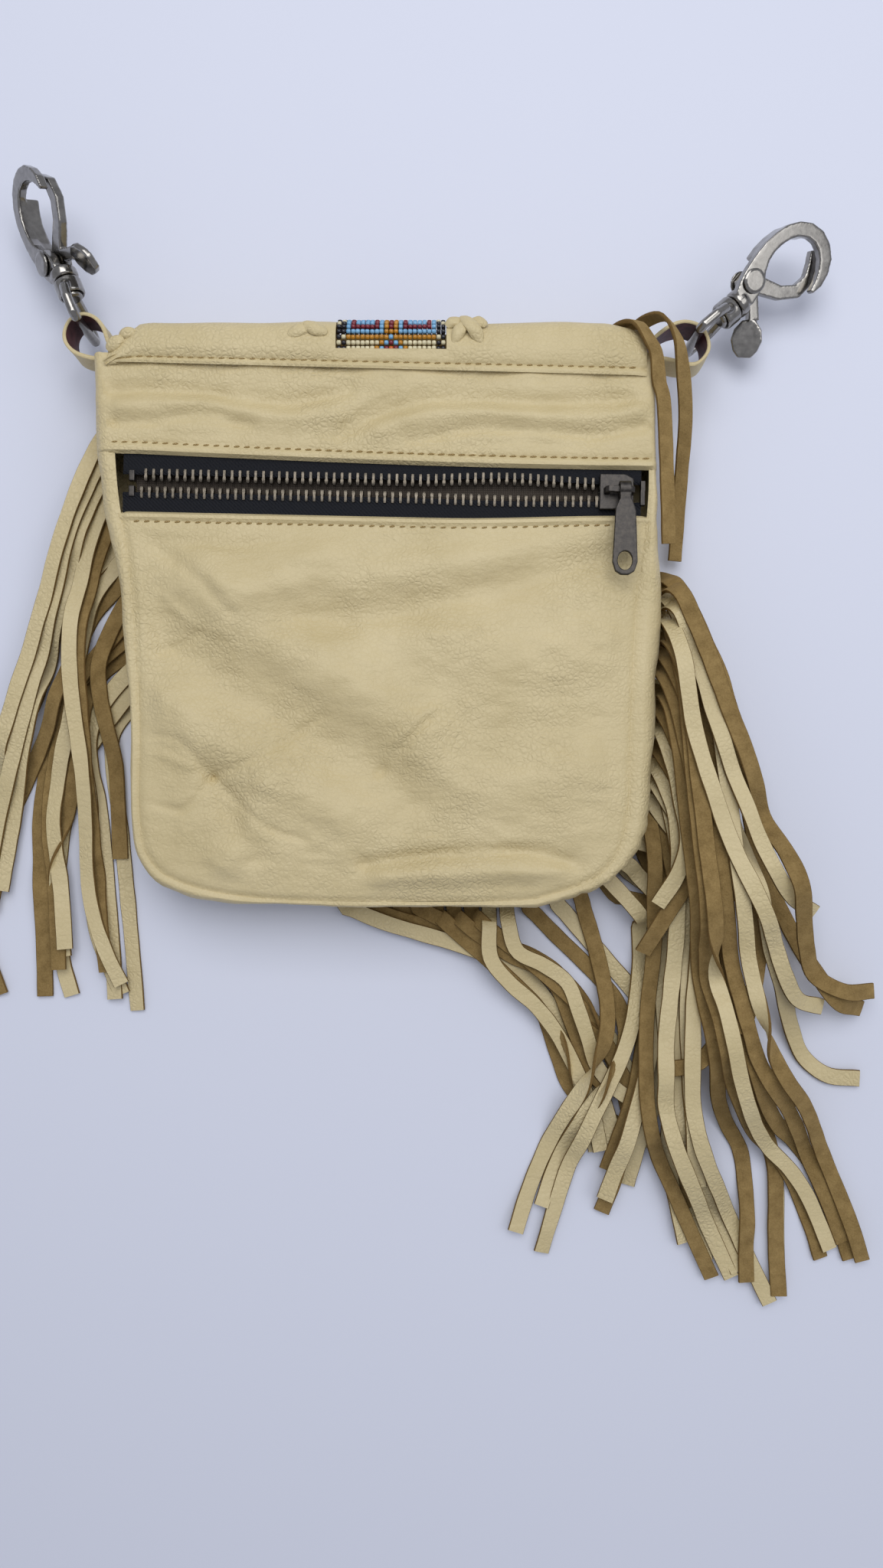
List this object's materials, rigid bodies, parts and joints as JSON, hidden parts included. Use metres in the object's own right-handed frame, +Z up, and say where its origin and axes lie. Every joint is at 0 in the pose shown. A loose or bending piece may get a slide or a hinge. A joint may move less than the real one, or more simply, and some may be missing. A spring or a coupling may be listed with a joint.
{
  "type": "fringed leather purse",
  "caption": "Flat fold-over buckskin purse with a beaded strip, a zip pocket, long cut fringe, and swivel hooks on leather loops.",
  "frame": {"origin": "middle of the flap's flat underside, where the purse lies on a table", "axes": "+Y towards the folded top edge, +X along the zip to its slider, +Z up out of the zip side"},
  "size_m": [0.3703, 0.4535, 0.0411],
  "materials": {
    "buckskin": "soft pebbled grain side",
    "suede": "napped flesh side",
    "lining": "plain cloth",
    "tape": "herringbone tape",
    "gunmetal": "dark plated",
    "nickel": "bright plated, worn",
    "beads": "opaque glass beads"
  },
  "bodies": {
    "bag": {"flap": "buckskin", "gusset": "buckskin", "back_upper_panel": "buckskin", "back_lower_panel": "buckskin", "front_panel": "buckskin", "left_loop": "buckskin", "right_loop": "buckskin", "flap_fringe_bottom": "buckskin", "flap_fringe_left": "buckskin", "flap_fringe_top_left": "buckskin", "flap_fringe_corner": "suede", "flap_fringe_right": "suede", "seam_fringe_corner": "suede", "seam_fringe_right": "suede", "inner_lace": "suede", "outer_lace": "suede", "left_knot": "suede", "right_knot": "suede", "zip_teeth_upper": "gunmetal", "zip_teeth_lower": "gunmetal", "zip_stop_upper": "gunmetal", "zip_stop_lower": "gunmetal", "zip_bottom_stop": "gunmetal", "pocket_lining": "lining", "zip_tape_upper": "tape", "zip_tape_lower": "tape", "bead_strip": "beads"},
    "zip_slider": {"zip_slider": "gunmetal"},
    "zip_pull": {"zip_pull": "gunmetal"},
    "left_eye": {"left_eye": "nickel"},
    "left_hook": {"left_hook": "nickel", "left_rivet": "nickel", "left_gate_spring": "gunmetal"},
    "left_gate": {"left_gate": "nickel"},
    "right_eye": {"right_eye": "nickel"},
    "right_hook": {"right_hook": "nickel", "right_rivet": "nickel", "right_gate_spring": "gunmetal"},
    "right_gate": {"right_gate": "nickel"}
  },
  "joints": [
    {"name": "zip_slide", "type": "slide", "parent": "bag", "child": "zip_slider", "axis": [-0.9998, 0.0209, 0], "range_m": [0, 0.177]},
    {"name": "zip_pull_hinge", "type": "hinge", "parent": "zip_slider", "child": "zip_pull", "pos_m": [0.09058, 0.04671, 0.0372], "axis": [-0.9998, 0.0209, 0], "range_deg": [0, 150]},
    {"name": "left_eye_swing", "type": "hinge", "parent": "bag", "child": "left_eye", "pos_m": [-0.1183, 0.114, 0.02025], "axis": [0, 0, 1], "range_deg": [-30, 30]},
    {"name": "left_hook_swivel", "type": "hinge", "parent": "left_eye", "child": "left_hook", "pos_m": [-0.1183, 0.114, 0.02025], "axis": [-0.3746, 0.9272, 0], "continuous": true},
    {"name": "left_gate_hinge", "type": "hinge", "parent": "left_hook", "child": "left_gate", "pos_m": [-0.13211, 0.14132, 0.01719], "axis": [0.7103, 0.287, -0.6428], "range_deg": [0, 9], "stiffness_Nm_per_rad": 0.1, "springref_deg": -17.19},
    {"name": "right_eye_swing", "type": "hinge", "parent": "bag", "child": "right_eye", "pos_m": [0.1203, 0.1096, 0.02025], "axis": [0, 0, 1], "range_deg": [-30, 30]},
    {"name": "right_hook_swivel", "type": "hinge", "parent": "right_eye", "child": "right_hook", "pos_m": [0.1203, 0.1096, 0.02025], "axis": [0.766, 0.6428, 0], "continuous": true},
    {"name": "right_gate_hinge", "type": "hinge", "parent": "right_hook", "child": "right_gate", "pos_m": [0.14133, 0.13198, 0.02194], "axis": [-0.2717, 0.3237, -0.9063], "range_deg": [0, 9], "stiffness_Nm_per_rad": 0.1, "springref_deg": -17.19}
  ]
}
